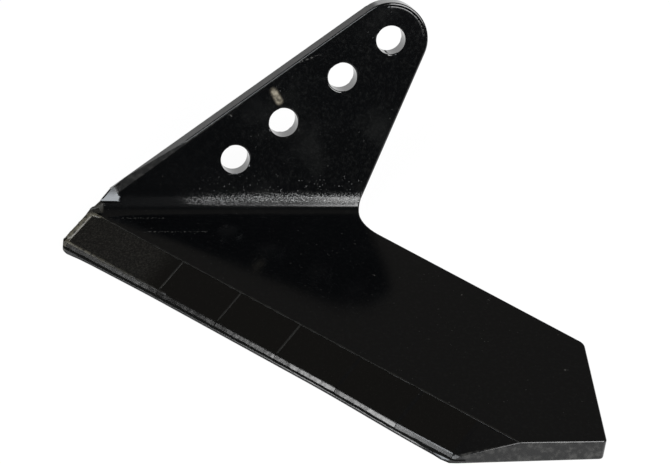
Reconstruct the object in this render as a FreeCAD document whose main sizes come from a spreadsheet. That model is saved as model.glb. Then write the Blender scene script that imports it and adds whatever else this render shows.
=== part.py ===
import FreeCAD, Part
import math
import os

import Sketcher

# Cultivator wing share: a bent steel plate with a row of hard-metal tiles on its cutting edge.
# The plate is one flat blank, bent once. Its outline is drawn flat, in a plane whose X axis is
# the bend line and whose Y axis crosses it: the wing lies on the negative side and the bolting
# flange on the positive side. The wing rests flat on Z = 0 and the flange rises behind it.
# Lengths are millimetres and angles degrees.

VECTOR = FreeCAD.Vector
X_AXIS = VECTOR(1, 0, 0)
Z_AXIS = VECTOR(0, 0, 1)

# Driving sizes: alias, value, what it is.
SIZES = (
    ("plate_thickness", 10.0, "steel plate"),
    ("bend_radius", 10.0, "inside radius of the bend"),
    ("bend_deg", 68.0, "slope of the flange above the wing"),
    ("top_hole_height", 77.0, "bend line to the top bolt hole, along the flange"),
    ("hole_diameter", 13.0, "clearance hole for an M12 bolt"),
    ("bolt_spacing", 60.0, "distance between the two bolts"),
    ("pair_shift", 27.0, "step from one pair of holes to the other"),
    ("hole_row_deg", 39.0, "slope of the hole row to the bend line"),
    ("tip_radius", 16.8, "steel round the top hole"),
    ("foot_reach", 131.2, "top hole to the front foot of the flange, along the bend"),
    ("flange_rear_deg", 69.0, "slope of the flange's rear edge"),
    ("cutting_edge_deg", 43.6, "sweep of the cutting edge from the bend line"),
    ("rear_edge_deg", 44.6, "sweep of the rear edge from the bend line"),
    ("inner_corner_drop", 8.8, "bend line to the corner of flange and rear edge"),
    ("wing_depth", 159.1, "bend line to the end face"),
    ("tail_reach", 69.7, "top hole to the tail corner, along the bend"),
    ("tail_lean_deg", 3.3, "lean of the tail edge from square to the bend line"),
    ("nose_width", 21.1, "front foot to the cutting edge, along the square front end"),
    ("inner_corner_radius", 22.0, "hollow corner of flange and rear edge"),
    ("nose_corner_radius", 6.0, "front end of the cutting edge"),
    ("end_corner_radius", 12.0, "rear end of the cutting edge"),
    ("rear_corner_radius", 5.0, "rear edge to tail edge"),
    ("tail_corner_radius", 2.0, "tail edge to end face"),
    ("bevel_width", 19.6, "cutting edge to ridge"),
    ("lip_setback", 2.8, "depth of the steep facet along the cutting edge"),
    ("lip_height", 3.6, "height of that facet"),
    ("steel_lip", 1.7, "steel left under the front of the tiles"),
    ("recess_depth", 4.0, "depth of the tile recess at the ridge"),
    ("front_rim", 3.5, "steel rim before the first tile"),
    ("braze_gap", 0.3, "joint between tiles and round their edges"),
    ("first_tile", 49.5, "length of the first tile"),
    ("tile_length", 31.4, "length of the other tiles"),
    ("end_flat", 39.7, "full-height part of the end face"),
)

BEND_SLICES = 9
CUT_MARGIN = 5.0
SHORTEST_TILE = 0.1  # least share of a tile that still gets a place at the row's end
SEAT_FORMULA = "sizes.lip_setback * sizes.steel_lip / sizes.lip_height"
FLOOR_FORMULA = "sizes.plate_thickness - sizes.recess_depth"


def make_sheet(doc):
    """Write the driving sizes into the spreadsheet, one row each."""
    sheet = doc.addObject("Spreadsheet::Sheet", "sizes")
    for row, (alias, value, note) in enumerate(SIZES, start=1):
        sheet.set(f"A{row}", note)
        sheet.set(f"B{row}", str(value))
        sheet.setAlias(f"B{row}", alias)
    doc.recompute()
    return sheet


def origin_plane(body, role):
    """Find one of the body's own origin planes."""
    for feature in body.Origin.OriginFeatures:
        if feature.Role == role:
            return feature
    raise ValueError(role)


def add_sketch(body, name, role):
    """Start a sketch on one of the body's origin planes."""
    sketch = body.newObject("Sketcher::SketchObject", name)
    sketch.AttachmentSupport = [(origin_plane(body, role), "")]
    sketch.MapMode = "FlatFace"
    return sketch


def add_polygon(sketch, points):
    """Draw a closed polygon and join its corners; the sides come back in order."""
    sides = []
    for start, end in zip(points, points[1:] + points[:1]):
        sides.append(sketch.addGeometry(Part.LineSegment(VECTOR(*start, 0), VECTOR(*end, 0)), False))
    for first, second in zip(sides, sides[1:] + sides[:1]):
        sketch.addConstraint(Sketcher.Constraint("Coincident", first, 2, second, 1))
    return sides


def bind(sketch, kind, where, value, formula):
    """Add a dimension, give it a first value and tie it to the sheet."""
    index = sketch.addConstraint(Sketcher.Constraint(kind, *where, value))
    sketch.setExpression(f"Constraints[{index}]", formula)


class Geometry:
    """Places worked out from the driving sizes, in the plane of the flat blank."""

    def __init__(self, sheet):
        self.sheet = sheet
        self.top_hole = (0.0, self.size("top_hole_height"))
        self.foot = (-self.size("foot_reach"), 0.0)
        self.cut = math.radians(self.size("cutting_edge_deg"))
        self.rear = math.radians(self.size("rear_edge_deg"))
        self.bend = math.radians(self.size("bend_deg"))
        self.bend_reach = self.size("bend_radius") * math.tan(self.bend / 2)

    def size(self, alias):
        """Read one driving size."""
        return float(self.sheet.get(alias))

    def outline(self):
        """Corners of the blank before rounding, from the front foot round by the tip."""
        radius = self.size("tip_radius")
        rear_slope = math.radians(self.size("flange_rear_deg"))
        foot_x, height = self.foot[0], self.top_hole[1]
        front_slope = math.atan2(height, -foot_x) + math.asin(radius / math.hypot(height, foot_x))
        rear_foot = radius / math.sin(rear_slope) - height / math.tan(rear_slope)
        tip_x = (foot_x * math.tan(front_slope) - rear_foot * math.tan(rear_slope)) / (
            math.tan(front_slope) - math.tan(rear_slope))
        tip = (tip_x, (tip_x - foot_x) * math.tan(front_slope))
        drop = self.size("inner_corner_drop")
        inner = (rear_foot - drop / math.tan(rear_slope), -drop)
        depth = self.size("wing_depth")
        tail = (self.size("tail_reach"), -depth)
        lean = math.tan(math.radians(self.size("tail_lean_deg")))
        sweep = math.tan(self.rear)
        rear_x = (tail[0] + lean * (inner[1] + inner[0] * sweep + depth)) / (1 + lean * sweep)
        rear_corner = (rear_x, inner[1] - (rear_x - inner[0]) * sweep)
        width = self.size("nose_width")
        nose = (foot_x - width * math.sin(self.cut), -width * math.cos(self.cut))
        end = (nose[0] + (depth + nose[1]) / math.tan(self.cut), -depth)
        return [self.foot, tip, inner, rear_corner, tail, end, nose]

    def row_end(self):
        """Distance along the cutting edge from its front end to the end face."""
        nose_y = -self.size("nose_width") * math.cos(self.cut)
        return (self.size("wing_depth") + nose_y) / math.sin(self.cut)

    def tile_spans(self):
        """Start and length of each tile along the cutting edge."""
        gap = self.size("braze_gap")
        length = self.size("tile_length")
        start = self.size("front_rim") + gap
        spans = [(start, self.size("first_tile"))]
        start += self.size("first_tile") + gap
        whole = max(int((self.row_end() - start) / (length + gap) - SHORTEST_TILE), 0)
        for _ in range(whole):
            spans.append((start, length))
            start += length + gap
        spans.append((start, self.row_end() - gap - start))
        return spans


def draw_blank(body, geometry):
    """Draw the blank's outline with sharp corners and tie it to the sheet."""
    sketch = add_sketch(body, "blank_outline", "XY_Plane")
    front, rear, back, tail, end, edge, nose = add_polygon(sketch, geometry.outline())
    hole = sketch.addGeometry(Part.Point(VECTOR(*geometry.top_hole, 0)), True)
    x_line, origin = -1, (-1, 1)
    cutting = geometry.cut
    sketch.addConstraint(Sketcher.Constraint("PointOnObject", hole, 1, -2))
    bind(sketch, "DistanceY", (*origin, hole, 1), geometry.top_hole[1], "sizes.top_hole_height")
    sketch.addConstraint(Sketcher.Constraint("PointOnObject", front, 1, x_line))
    bind(sketch, "DistanceX", (front, 1, *origin), -geometry.foot[0], "sizes.foot_reach")
    bind(sketch, "Distance", (hole, 1, front), geometry.size("tip_radius"), "sizes.tip_radius")
    bind(sketch, "Distance", (hole, 1, rear), geometry.size("tip_radius"), "sizes.tip_radius")
    slope = geometry.size("flange_rear_deg")
    bind(sketch, "Angle", (x_line, 1, rear, 2), math.radians(slope), "sizes.flange_rear_deg * 1 deg")
    bind(sketch, "DistanceY", (rear, 2, *origin), geometry.size("inner_corner_drop"),
         "sizes.inner_corner_drop")
    bind(sketch, "Angle", (back, 1, x_line, 1), geometry.rear, "sizes.rear_edge_deg * 1 deg")
    bind(sketch, "DistanceX", (*origin, tail, 2), geometry.size("tail_reach"), "sizes.tail_reach")
    bind(sketch, "DistanceY", (tail, 2, *origin), geometry.size("wing_depth"), "sizes.wing_depth")
    lean = math.radians(geometry.size("tail_lean_deg"))
    bind(sketch, "Angle", (tail, 2, end, 1), math.pi / 2 + lean,
         "90 deg + sizes.tail_lean_deg * 1 deg")
    sketch.addConstraint(Sketcher.Constraint("Horizontal", end))
    bind(sketch, "Angle", (edge, 2, x_line, 1), cutting, "sizes.cutting_edge_deg * 1 deg")
    sketch.addConstraint(Sketcher.Constraint("Perpendicular", edge, nose))
    bind(sketch, "Distance", (nose, 1, nose, 2), geometry.size("nose_width"), "sizes.nose_width")
    return sketch


def edge_at(shape, corner):
    """Name the vertical edge that stands on a corner of the outline."""
    for number, edge in enumerate(shape.Edges, start=1):
        if len(edge.Vertexes) == 2 and all(
                math.hypot(v.X - corner[0], v.Y - corner[1]) < 0.01 for v in edge.Vertexes):
            return f"Edge{number}"
    raise ValueError(f"no edge at {corner}")


def round_corner(body, base, corner, alias):
    """Round one corner of the blank by the radius of that name."""
    fillet = body.newObject("PartDesign::Fillet", alias)
    fillet.Base = (base, [edge_at(base.Shape, corner)])
    fillet.setExpression("Radius", f"sizes.{alias}")
    body.Document.recompute()
    return fillet


def make_blank(doc, geometry, name):
    """Cut the flat blank from plate, with all its corners rounded."""
    body = doc.addObject("PartDesign::Body", name)
    pad = body.newObject("PartDesign::Pad", "plate")
    pad.Profile = draw_blank(body, geometry)
    pad.setExpression("Length", "sizes.plate_thickness")
    doc.recompute()
    _, tip, inner, rear_corner, tail, end, nose = geometry.outline()
    rounded = round_corner(body, pad, tip, "tip_radius")
    rounded = round_corner(body, rounded, inner, "inner_corner_radius")
    rounded = round_corner(body, rounded, rear_corner, "rear_corner_radius")
    rounded = round_corner(body, rounded, tail, "tail_corner_radius")
    rounded = round_corner(body, rounded, end, "end_corner_radius")
    return body, round_corner(body, rounded, nose, "nose_corner_radius")


def cut_through(body, sketch, name):
    """Cut a sketch on the ground plane through the plate above it, and see that it cut."""
    before = body.Shape.Volume
    pocket = body.newObject("PartDesign::Pocket", name)
    pocket.Profile = sketch
    pocket.Type = "ThroughAll"
    pocket.Reversed = True
    body.Document.recompute()
    if not pocket.Shape.Volume < before - 1:
        raise RuntimeError(f"{name} cut nothing")
    return pocket


def trim_at_bend(body, geometry, side):
    """Keep only the flat part of the blank on one side of the bend: -1 wing, 1 flange."""
    near = side * geometry.bend_reach
    far = -side * (geometry.size("wing_depth") + geometry.size("top_hole_height") + 100)
    half = geometry.size("foot_reach") + geometry.size("wing_depth")
    sketch = add_sketch(body, "beyond_bend", "XY_Plane")
    corners = [(-half, near), (half, near), (half, far), (-half, far)]
    low, right, high, left = add_polygon(sketch, corners)
    for level in (low, high):
        sketch.addConstraint(Sketcher.Constraint("Horizontal", level))
    for upright in (right, left):
        sketch.addConstraint(Sketcher.Constraint("Vertical", upright))
    origin = (-1, 1)
    span = (*origin, low, 1) if side > 0 else (low, 1, *origin)
    bind(sketch, "DistanceY", span, abs(near), "sizes.bend_radius * tan(sizes.bend_deg * 1 deg / 2)")
    sketch.addConstraint(Sketcher.Constraint("DistanceX", low, 1, *origin, half))
    sketch.addConstraint(Sketcher.Constraint("DistanceX", *origin, low, 2, half))
    sketch.addConstraint(Sketcher.Constraint("Distance", right, abs(far - near)))
    return cut_through(body, sketch, "bend_line")


def drill_holes(body, geometry):
    """Cut the four bolt holes, two pairs at one spacing along a sloping row."""
    sketch = add_sketch(body, "bolt_holes", "XY_Plane")
    slope = math.radians(geometry.size("hole_row_deg"))
    circles = []
    for steps, formula in hole_steps(geometry):
        centre = hole_centre(geometry, steps)
        circle = sketch.addGeometry(
            Part.Circle(VECTOR(*centre, 0), Z_AXIS, geometry.size("hole_diameter") / 2), False)
        along = f"({formula}) * cos(sizes.hole_row_deg * 1 deg)"
        down = f"({formula}) * sin(sizes.hole_row_deg * 1 deg)"
        if steps:
            bind(sketch, "DistanceX", (circle, 3, -1, 1), steps * math.cos(slope), along)
        else:
            sketch.addConstraint(Sketcher.Constraint("PointOnObject", circle, 3, -2))
        bind(sketch, "DistanceY", (-1, 1, circle, 3), centre[1], f"sizes.top_hole_height - {down}")
        circles.append(circle)
    bind(sketch, "Diameter", (circles[0],), geometry.size("hole_diameter"), "sizes.hole_diameter")
    for circle in circles[1:]:
        sketch.addConstraint(Sketcher.Constraint("Equal", circles[0], circle))
    return cut_through(body, sketch, "bolt_hole_cuts")


def hole_steps(geometry):
    """Distance of each hole from the top one, as a number and as a formula."""
    spacing = geometry.size("bolt_spacing")
    shift = geometry.size("pair_shift")
    return ((0.0, "0"), (shift, "sizes.pair_shift"), (spacing, "sizes.bolt_spacing"),
            (spacing + shift, "sizes.bolt_spacing + sizes.pair_shift"))


def hole_centre(geometry, steps):
    """Centre of the hole that lies so far down the row from the top one."""
    slope = math.radians(geometry.size("hole_row_deg"))
    return (geometry.top_hole[0] - steps * math.cos(slope), geometry.top_hole[1] - steps * math.sin(slope))


def bend_section(geometry, blank, share):
    """One slice of the blank, turned about the bend axis by a share of the whole bend."""
    place = (2 * share - 1) * geometry.bend_reach
    slice_box = blank.slice(VECTOR(0, 1, 0), place)[0].BoundBox
    inner = geometry.size("bend_radius") / 2
    outer = geometry.size("bend_radius") + geometry.size("plate_thickness") + CUT_MARGIN
    corners = [VECTOR(slice_box.XMin, 0, -inner), VECTOR(slice_box.XMax, 0, -inner),
               VECTOR(slice_box.XMax, 0, -outer), VECTOR(slice_box.XMin, 0, -outer)]
    wire = Part.makePolygon(corners + corners[:1])
    wire.rotate(VECTOR(0, 0, 0), X_AXIS, math.degrees(share * geometry.bend))
    wire.translate(bend_axis(geometry))
    return wire


def bend_axis(geometry):
    """A point on the axis that the plate is bent about."""
    height = geometry.size("plate_thickness") + geometry.size("bend_radius")
    return VECTOR(0, -geometry.bend_reach, height)


def make_bend(doc, geometry, blank):
    """Bend the strip between wing and flange: a sector of tube, trimmed to the blank's sides."""
    length = 2 * (geometry.size("foot_reach") + geometry.size("tail_reach"))
    placement = FreeCAD.Placement(
        bend_axis(geometry) - VECTOR(length / 2, 0, 0), FreeCAD.Rotation(VECTOR(0, 1, 0), 90))
    tube = []
    for name, radius in (("bend_outside", "sizes.bend_radius + sizes.plate_thickness"),
                         ("bend_inside", "sizes.bend_radius")):
        round_bar = doc.addObject("Part::Cylinder", name)
        round_bar.setExpression("Radius", radius)
        round_bar.setExpression("Angle", "sizes.bend_deg * 1 deg")
        round_bar.Height = length
        round_bar.Placement = placement
        tube.append(round_bar)
    sector = doc.addObject("Part::Cut", "bend_sector")
    sector.Base, sector.Tool = tube
    sides = doc.addObject("Part::Feature", "bend_sides")
    steps = [number / (BEND_SLICES - 1) for number in range(BEND_SLICES)]
    sides.Shape = Part.makeLoft([bend_section(geometry, blank, step) for step in steps], True, False)
    bend = doc.addObject("Part::Common", "bend")
    bend.Base, bend.Tool = sector, sides
    doc.recompute()
    return bend


def raise_flange(body):
    """Turn the flat flange up about the line where the faces of wing and flange meet."""
    body.Placement = FreeCAD.Placement(VECTOR(0, 0, 0), FreeCAD.Rotation(X_AXIS, 10))
    body.setExpression("Placement.Rotation.Angle", "sizes.bend_deg * 1 deg")
    body.setExpression("Placement.Base.y", "sizes.plate_thickness * sin(sizes.bend_deg * 1 deg)")
    body.setExpression("Placement.Base.z", "sizes.plate_thickness * (1 - cos(sizes.bend_deg * 1 deg))")


def edge_place(geometry, along):
    """Frame of a cross-section of the cutting edge: X along the edge, Y back from it, Z up."""
    turn = FreeCAD.Rotation(Z_AXIS, -math.degrees(geometry.cut))
    nose = VECTOR(*geometry.outline()[6], 0)
    return FreeCAD.Placement(nose + turn.multVec(VECTOR(along, 0, 0)), turn)


def section_points(geometry):
    """Named points of the edge's cross-section, back from the cutting edge and up."""
    thickness = geometry.size("plate_thickness")
    lip = (geometry.size("lip_setback"), geometry.size("lip_height"))
    seat = geometry.size("steel_lip")
    ridge = geometry.size("bevel_width")
    return {"lip": lip, "seat": (lip[0] * seat / lip[1], seat), "ridge": (ridge, thickness),
            "floor": (ridge, thickness - geometry.size("recess_depth"))}


def fix_point(sketch, corner, place, across, up):
    """Tie a corner of a cross-section to the sheet, across and up from the cutting edge."""
    bind(sketch, "DistanceX", (-1, 1, *corner), place[0], across)
    bind(sketch, "DistanceY", (-1, 1, *corner), place[1], up)


def make_bar(doc, name, sketcher, geometry, start, length, alias=None):
    """Run a cross-section along the cutting edge, by a length of the sheet where it has one."""
    body = doc.addObject("PartDesign::Body", name)
    pad = body.newObject("PartDesign::Pad", "run")
    pad.Profile = sketcher(body, geometry)
    pad.Length = length
    if alias:
        pad.setExpression("Length", f"sizes.{alias}")
    body.Placement = edge_place(geometry, start)
    return body


def draw_bevel(body, geometry):
    """What the grinder takes off above the facet and the bevel."""
    sketch = add_sketch(body, "bevel", "YZ_Plane")
    point = section_points(geometry)
    top = point["ridge"][1] + CUT_MARGIN
    corners = [(0.0, 0.0), point["lip"], point["ridge"], (point["ridge"][0], top),
               (-CUT_MARGIN, top), (-CUT_MARGIN, 0.0)]
    facet, slope, wall, high, front, low = add_polygon(sketch, corners)
    sketch.addConstraint(Sketcher.Constraint("Coincident", facet, 1, -1, 1))
    fix_point(sketch, (slope, 1), point["lip"], "sizes.lip_setback", "sizes.lip_height")
    fix_point(sketch, (wall, 1), point["ridge"], "sizes.bevel_width", "sizes.plate_thickness")
    close_above(sketch, wall, high, front, low)
    return sketch


def draw_recess(body, geometry):
    """What is milled out of the bevel to seat the tiles."""
    sketch = add_sketch(body, "recess", "YZ_Plane")
    point = section_points(geometry)
    top = point["ridge"][1] + CUT_MARGIN
    corners = [point["seat"], point["floor"], (point["floor"][0], top), (-CUT_MARGIN, top),
               (-CUT_MARGIN, point["seat"][1])]
    floor, wall, high, front, low = add_polygon(sketch, corners)
    fix_point(sketch, (floor, 1), point["seat"], SEAT_FORMULA, "sizes.steel_lip")
    fix_point(sketch, (wall, 1), point["floor"], "sizes.bevel_width", FLOOR_FORMULA)
    close_above(sketch, wall, high, front, low)
    return sketch


def close_above(sketch, wall, high, front, low):
    """Square off a cutting section clear of the steel, above and in front."""
    sketch.addConstraint(Sketcher.Constraint("Vertical", wall))
    sketch.addConstraint(Sketcher.Constraint("Horizontal", high))
    sketch.addConstraint(Sketcher.Constraint("Vertical", front))
    sketch.addConstraint(Sketcher.Constraint("Horizontal", low))
    sketch.addConstraint(Sketcher.Constraint("DistanceX", low, 1, -1, 1, CUT_MARGIN))
    bind(sketch, "DistanceY", (-1, 1, high, 1), 1.0, f"sizes.plate_thickness + {CUT_MARGIN}")


def draw_tile(body, geometry):
    """Wedge-shaped tile: flat on the recess floor and flush with the bevel."""
    sketch = add_sketch(body, "tile", "YZ_Plane")
    point = section_points(geometry)
    gap = geometry.size("braze_gap")
    rear = point["ridge"][0] - gap
    corners = [point["seat"], point["lip"], (rear, point["ridge"][1] - gap),
               (rear, point["floor"][1] - gap)]
    front, slope, back, under = add_polygon(sketch, corners)
    guides = []
    for low, high in (("lip", "ridge"), ("seat", "floor")):
        line = Part.LineSegment(VECTOR(*point[low], 0), VECTOR(*point[high], 0))
        guides.append(sketch.addGeometry(line, True))
    bevel, floor = guides
    sketch.addConstraint(Sketcher.Constraint("Coincident", bevel, 1, slope, 1))
    sketch.addConstraint(Sketcher.Constraint("Coincident", floor, 1, front, 1))
    fix_point(sketch, (front, 1), point["seat"], SEAT_FORMULA, "sizes.steel_lip")
    fix_point(sketch, (slope, 1), point["lip"], "sizes.lip_setback", "sizes.lip_height")
    fix_point(sketch, (bevel, 2), point["ridge"], "sizes.bevel_width", "sizes.plate_thickness")
    fix_point(sketch, (floor, 2), point["floor"], "sizes.bevel_width", FLOOR_FORMULA)
    sketch.addConstraint(Sketcher.Constraint("PointOnObject", back, 1, bevel))
    sketch.addConstraint(Sketcher.Constraint("PointOnObject", under, 1, floor))
    sketch.addConstraint(Sketcher.Constraint("Vertical", back))
    bind(sketch, "DistanceX", (-1, 1, back, 1), rear, "sizes.bevel_width - sizes.braze_gap")
    return sketch


def end_bevel(geometry):
    """The corner behind the last tile, where the bevel turns down to the end face."""
    thickness = geometry.size("plate_thickness")
    lip_height = geometry.size("lip_height")
    setback = geometry.size("lip_setback")
    place = edge_place(geometry, geometry.row_end() + setback / math.tan(geometry.cut))
    front = place.multVec(VECTOR(0, setback, lip_height))
    ridge = place.multVec(VECTOR(0, geometry.size("bevel_width"), thickness))
    full = VECTOR(geometry.size("tail_reach") - geometry.size("end_flat"), front.y, thickness)
    clear = (thickness + CUT_MARGIN - lip_height) / (thickness - lip_height)
    far = front + (full - front) * clear
    face = Part.Face(Part.makePolygon([front, far, VECTOR(front.x, front.y, far.z), front]))
    start = (front - ridge) * 0.2
    face.translate(start)
    return face.extrude((ridge - front) * 1.4)


def make_plate(doc, geometry):
    """Cut, bend, drill and bevel the plate."""
    wing, blank = make_blank(doc, geometry, "wing")
    flat = blank.Shape.copy()
    trim_at_bend(wing, geometry, -1)
    flange, _ = make_blank(doc, geometry, "flange")
    trim_at_bend(flange, geometry, 1)
    drill_holes(flange, geometry)
    raise_flange(flange)
    bent = doc.addObject("Part::MultiFuse", "bent_plate")
    bent.Shapes = [wing, make_bend(doc, geometry, flat), flange]
    bent.Refine = True
    doc.recompute()
    row = geometry.row_end()
    rim = geometry.size("front_rim")
    beyond = 2 * geometry.size("bevel_width") + row
    ground = make_bar(doc, "ground_bevel", draw_bevel, geometry, -CUT_MARGIN, beyond)
    milled = make_bar(doc, "milled_recess", draw_recess, geometry, rim, row - rim)
    corner = doc.addObject("Part::Feature", "end_bevel")
    corner.Shape = end_bevel(geometry)
    removed = doc.addObject("Part::MultiFuse", "removed_steel")
    removed.Shapes = [ground, milled, corner]
    plate = doc.addObject("Part::Cut", "share_plate")
    plate.Base, plate.Tool = bent, removed
    doc.recompute()
    return plate


def make_tiles(doc, geometry):
    """Seat the row of tiles in the recess, one node each."""
    spans = geometry.tile_spans()
    aliases = ["first_tile"] + ["tile_length"] * (len(spans) - 2) + [None]
    tiles = []
    for number, ((start, length), alias) in enumerate(zip(spans, aliases), start=1):
        name = f"carbide_tile_{number}"
        tiles.append(make_bar(doc, name, draw_tile, geometry, start, length, alias))
    doc.recompute()
    return tiles


def centre_on_floor(pieces):
    """Shift every piece so that the plate stands centred on the origin."""
    box = pieces[0].Shape.optimalBoundingBox()
    shift = VECTOR(-box.Center.x, -box.Center.y, -box.ZMin)
    for piece in pieces:
        placement = piece.Placement
        piece.Placement = FreeCAD.Placement(placement.Base + shift, placement.Rotation)


def check_and_write(doc, pieces):
    """Refuse a failed feature or a bad solid, then write one file per piece."""
    failed = [item.Name for item in doc.Objects if {"Invalid", "Error"} & set(item.State)]
    if failed:
        raise RuntimeError(f"failed features: {failed}")
    os.makedirs("parts", exist_ok=True)
    for piece in pieces:
        if piece.Shape.isNull() or not piece.Shape.isValid() or len(piece.Shape.Solids) != 1:
            raise RuntimeError(f"bad solid: {piece.Label}")
    for piece in pieces:
        piece.Shape.exportStep(os.path.join("parts", f"{piece.Label}.step"))


def main():
    """Build the share and write its pieces."""
    doc = FreeCAD.newDocument("wing_share")
    geometry = Geometry(make_sheet(doc))
    plate = make_plate(doc, geometry)
    pieces = [plate] + make_tiles(doc, geometry)
    centre_on_floor(pieces)
    doc.recompute()
    check_and_write(doc, pieces)


main()
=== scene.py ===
"""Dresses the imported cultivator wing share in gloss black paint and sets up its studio.

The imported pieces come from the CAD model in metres. The plate and its tiles are copied, their
edges are rounded and painted, and the braze, the paint beads and the small marks are added.
"""

import logging
import math
import random
from collections.abc import Callable, Iterable, Sequence
from dataclasses import dataclass
from enum import Enum
from typing import Any

import bpy
from mathutils import Matrix, Vector


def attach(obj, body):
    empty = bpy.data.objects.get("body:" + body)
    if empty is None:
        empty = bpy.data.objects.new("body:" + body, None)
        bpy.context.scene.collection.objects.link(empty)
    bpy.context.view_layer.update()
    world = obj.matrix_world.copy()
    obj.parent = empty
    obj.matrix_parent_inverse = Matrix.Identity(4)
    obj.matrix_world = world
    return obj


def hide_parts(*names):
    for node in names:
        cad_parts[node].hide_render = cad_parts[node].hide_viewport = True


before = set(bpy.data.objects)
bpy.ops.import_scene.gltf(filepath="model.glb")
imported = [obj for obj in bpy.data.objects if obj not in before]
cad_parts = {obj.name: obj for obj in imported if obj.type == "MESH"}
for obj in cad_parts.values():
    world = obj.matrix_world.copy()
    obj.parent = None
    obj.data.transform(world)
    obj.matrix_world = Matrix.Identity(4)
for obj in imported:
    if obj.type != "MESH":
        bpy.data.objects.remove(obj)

LOG = logging.getLogger("wing_share")
MM = 0.001
BODY = "root"
COOL = (0.90, 0.95, 1.0)
DULL_BLACK = (0.004, 0.004, 0.0038, 1.0)
FLAT_WEIGHT = 80

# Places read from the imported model's own sizes, in the part's frame.
BEND_ANGLE = math.radians(68.0)
TOP_FACE = 0.010
PLATE = 0.010
EDGE_START = Vector((-0.110729, 0.042065, 0.0))
EDGE_TURN = -math.radians(43.6)
ALONG = Vector((math.cos(EDGE_TURN), math.sin(EDGE_TURN), 0.0))
INWARD = Vector((-math.sin(EDGE_TURN), math.cos(EDGE_TURN), 0.0))
FLANGE_FACING = Vector((0.0, -math.sin(BEND_ANGLE), math.cos(BEND_ANGLE)))
FLANGE_LEFT = Vector((-0.6042, 0.2986, 0.7388))
FLANGE_CORNER = Vector((-0.0871, 0.0599, 0.0163))
BOLT_HOLES = (
    Vector((0.035022, 0.090826, 0.079520)), Vector((0.014039, 0.084460, 0.063766)),
    Vector((-0.011607, 0.076681, 0.044510)), Vector((-0.032590, 0.070316, 0.028756)))
BEND_AXIS = (0.0506, 0.020)
BEND_RADII = (0.010, 0.020)
LIP_BACK = 0.0028
LIP_TOP = 0.0036
RIDGE_BACK = 0.0196
TILE_JOINTS = (0.05345, 0.08515, 0.11685, 0.14855, 0.18025)
ROW_TIPS = (Vector((-0.1073, 0.0390, 0.0)), Vector((0.0415, -0.1005, 0.0)))
ROW_START = 0.00365
ROW_END = 0.20845
RIDGE_END = 0.2288
# How far the cutting edge stands out of its straight line: all along, and more at either end.
FLARE = 0.45 * MM
FLARE_FRONT = 1.0 * MM
FLARE_REAR = 1.5 * MM
# How far the bend's inner edge is moved to the right at the foot: height and shift, in millimetres.
FOOT_EDGE = ((10.0, 0.0), (10.1, 1.2), (10.4, 2.2), (10.85, 3.2), (11.46, 4.0), (11.84, 3.3),
             (12.4, 2.0), (13.09, 0.6), (14.26, -1.5), (15.21, -2.2), (16.1, -0.6))


class Lie(Enum):
    """How a face of the plate lies."""

    UNDER = (0.0, 0.0, -1.0)
    FACET = (-0.5442, -0.5716, 0.6141)
    SLOPE = (-0.2464, -0.2588, 0.9340)
    FLOOR = (-0.1643, -0.1726, 0.9712)


class Value:
    """A shader socket whose arithmetic adds Math nodes."""

    def __init__(self, graph: "Graph", socket: bpy.types.NodeSocket) -> None:
        """Wrap a socket.

        Args:
            graph: The material that the socket belongs to.
            socket: An output socket.
        """
        self.graph = graph
        self.socket = socket

    def math(self, operation: str, *others: Any, clamp: bool = False) -> "Value":
        """Add one Math node.

        Args:
            operation: The node's operation.
            others: The further operands, numbers or values.
            clamp: Whether the result stays between 0 and 1.

        Returns:
            The node's result.
        """
        inputs = dict(enumerate((self, *others)))
        settings = {"operation": operation, "use_clamp": clamp}
        return self.graph.value("ShaderNodeMath", "Value", settings, inputs)

    def __add__(self, other: Any) -> "Value":
        """Sum."""
        return self.math("ADD", other)

    __radd__ = __add__

    def __sub__(self, other: Any) -> "Value":
        """Difference."""
        return self.math("SUBTRACT", other)

    def __rsub__(self, other: Any) -> "Value":
        """Difference from a number."""
        return (self * -1.0).math("ADD", other)

    def __mul__(self, other: Any) -> "Value":
        """Product."""
        return self.math("MULTIPLY", other)

    __rmul__ = __mul__

    def ramp(self, low: float, high: float) -> "Value":
        """Rise smoothly from 0 at low to 1 at high; falls where low is above high.

        Args:
            low: Where the result is 0.
            high: Where the result is 1.

        Returns:
            The eased value.
        """
        settings = {"interpolation_type": "SMOOTHSTEP"}
        inputs = {"Value": self, "From Min": low, "From Max": high}
        if low < high:
            return self.graph.value("ShaderNodeMapRange", "Result", settings, inputs)
        inputs.update({"From Min": high, "From Max": low})
        return 1.0 - self.graph.value("ShaderNodeMapRange", "Result", settings, inputs)

    def larger(self, other: Any) -> "Value":
        """The larger of two values."""
        return self.math("MAXIMUM", other)


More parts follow.
